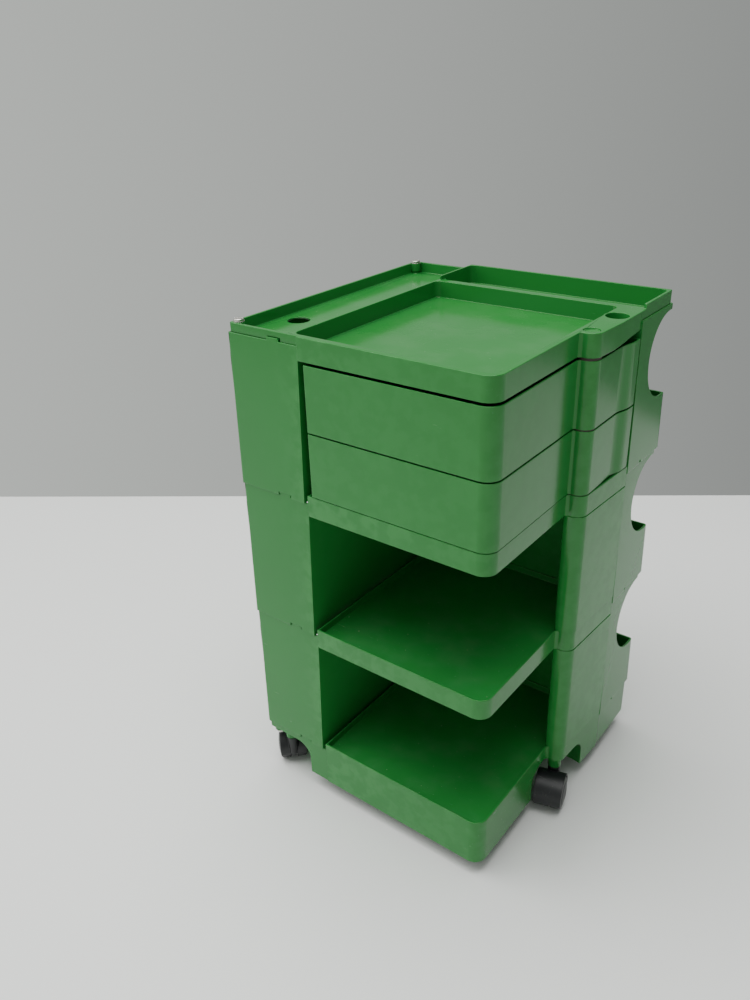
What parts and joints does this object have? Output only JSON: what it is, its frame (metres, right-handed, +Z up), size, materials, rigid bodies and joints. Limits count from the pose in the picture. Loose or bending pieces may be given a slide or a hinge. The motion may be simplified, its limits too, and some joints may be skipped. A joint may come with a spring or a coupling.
{
  "type": "storage trolley",
  "caption": "Tall plastic storage trolley on swivel casters: recessed top tray, swing-out drawers, open shelves, side niche and rear pockets.",
  "frame": {"origin": "on the floor, under the middle of the overall box", "axes": "+X to the trolley's right, +Y to its back, +Z up"},
  "size_m": [0.4514, 0.422, 0.735],
  "materials": {
    "body_plastic": "glossy moulded ABS",
    "caster_plastic": "satin dark grey",
    "wheel_plastic": "satin near-black",
    "zinc_steel": "zinc plated",
    "fibre_washer": "dark vulcanised fibre"
  },
  "bodies": {
    "stack": {"top_tray": "body_plastic", "upper_frame": "body_plastic", "middle_module": "body_plastic", "lower_module": "body_plastic", "base_module": "body_plastic", "side_panel_middle": "body_plastic", "side_panel_lower": "body_plastic", "tie_rod_front_left": "zinc_steel", "tie_rod_rear_left": "zinc_steel", "tie_washers": "zinc_steel", "tie_nuts": "zinc_steel", "pivot_rod": "zinc_steel", "pivot_nuts": "zinc_steel", "pivot_washer": "zinc_steel", "pivot_cap": "body_plastic", "pivot_spacers": "fibre_washer", "caster_sleeves": "zinc_steel"},
    "drawer_upper": {"drawer_upper": "body_plastic"},
    "drawer_lower": {"drawer_lower": "body_plastic"},
    "caster_front_left_fork": {"caster_front_left_hood": "caster_plastic", "caster_front_left_stem": "zinc_steel", "caster_front_left_axle": "zinc_steel"},
    "caster_front_left_wheel_a": {"caster_front_left_wheel_a": "wheel_plastic"},
    "caster_front_left_wheel_b": {"caster_front_left_wheel_b": "wheel_plastic"},
    "caster_rear_left_fork": {"caster_rear_left_hood": "caster_plastic", "caster_rear_left_stem": "zinc_steel", "caster_rear_left_axle": "zinc_steel"},
    "caster_rear_left_wheel_a": {"caster_rear_left_wheel_a": "wheel_plastic"},
    "caster_rear_left_wheel_b": {"caster_rear_left_wheel_b": "wheel_plastic"},
    "caster_right_fork": {"caster_right_hood": "caster_plastic", "caster_right_stem": "zinc_steel", "caster_right_axle": "zinc_steel"},
    "caster_right_wheel_a": {"caster_right_wheel_a": "wheel_plastic"},
    "caster_right_wheel_b": {"caster_right_wheel_b": "wheel_plastic"},
    "caster_front_right_fork": {"caster_front_right_hood": "caster_plastic", "caster_front_right_stem": "zinc_steel", "caster_front_right_axle": "zinc_steel"},
    "caster_front_right_wheel_a": {"caster_front_right_wheel_a": "wheel_plastic"},
    "caster_front_right_wheel_b": {"caster_front_right_wheel_b": "wheel_plastic"}
  },
  "joints": [
    {"name": "drawer_upper_swing", "type": "hinge", "parent": "stack", "child": "drawer_upper", "pos_m": [0.188, -0.006, 0.65], "axis": [0, 0, 1], "range_deg": [0, 150]},
    {"name": "drawer_lower_swing", "type": "hinge", "parent": "stack", "child": "drawer_lower", "pos_m": [0.188, -0.006, 0.563], "axis": [0, 0, 1], "range_deg": [0, 150]},
    {"name": "caster_front_left_swivel", "type": "hinge", "parent": "stack", "child": "caster_front_left_fork", "pos_m": [-0.179, -0.191, 0.07], "axis": [0, 0, 1], "continuous": true},
    {"name": "caster_front_left_wheel_a_spin", "type": "hinge", "parent": "caster_front_left_fork", "child": "caster_front_left_wheel_a", "pos_m": [-0.19456, -0.17544, 0.025], "axis": [-0.7071, -0.7071, 0], "continuous": true},
    {"name": "caster_front_left_wheel_b_spin", "type": "hinge", "parent": "caster_front_left_fork", "child": "caster_front_left_wheel_b", "pos_m": [-0.19456, -0.17544, 0.025], "axis": [-0.7071, -0.7071, 0], "continuous": true},
    {"name": "caster_rear_left_swivel", "type": "hinge", "parent": "stack", "child": "caster_rear_left_fork", "pos_m": [-0.179, 0.154, 0.07], "axis": [0, 0, 1], "continuous": true},
    {"name": "caster_rear_left_wheel_a_spin", "type": "hinge", "parent": "caster_rear_left_fork", "child": "caster_rear_left_wheel_a", "pos_m": [-0.168, 0.17305, 0.025], "axis": [-0.866, 0.5, 0], "continuous": true},
    {"name": "caster_rear_left_wheel_b_spin", "type": "hinge", "parent": "caster_rear_left_fork", "child": "caster_rear_left_wheel_b", "pos_m": [-0.168, 0.17305, 0.025], "axis": [-0.866, 0.5, 0], "continuous": true},
    {"name": "caster_right_swivel", "type": "hinge", "parent": "stack", "child": "caster_right_fork", "pos_m": [0.188, -0.006, 0.07], "axis": [0, 0, 1], "continuous": true},
    {"name": "caster_right_wheel_a_spin", "type": "hinge", "parent": "caster_right_fork", "child": "caster_right_wheel_a", "pos_m": [0.19369, -0.02725, 0.025], "axis": [0.9659, 0.2588, 0], "continuous": true},
    {"name": "caster_right_wheel_b_spin", "type": "hinge", "parent": "caster_right_fork", "child": "caster_right_wheel_b", "pos_m": [0.19369, -0.02725, 0.025], "axis": [0.9659, 0.2588, 0], "continuous": true},
    {"name": "caster_front_right_swivel", "type": "hinge", "parent": "stack", "child": "caster_front_right_fork", "pos_m": [0.117, -0.145, 0.07], "axis": [0, 0, 1], "continuous": true},
    {"name": "caster_front_right_wheel_a_spin", "type": "hinge", "parent": "caster_front_right_fork", "child": "caster_front_right_wheel_a", "pos_m": [0.09633, -0.15252, 0.025], "axis": [0.342, -0.9397, 0], "continuous": true},
    {"name": "caster_front_right_wheel_b_spin", "type": "hinge", "parent": "caster_front_right_fork", "child": "caster_front_right_wheel_b", "pos_m": [0.09633, -0.15252, 0.025], "axis": [0.342, -0.9397, 0], "continuous": true}
  ]
}
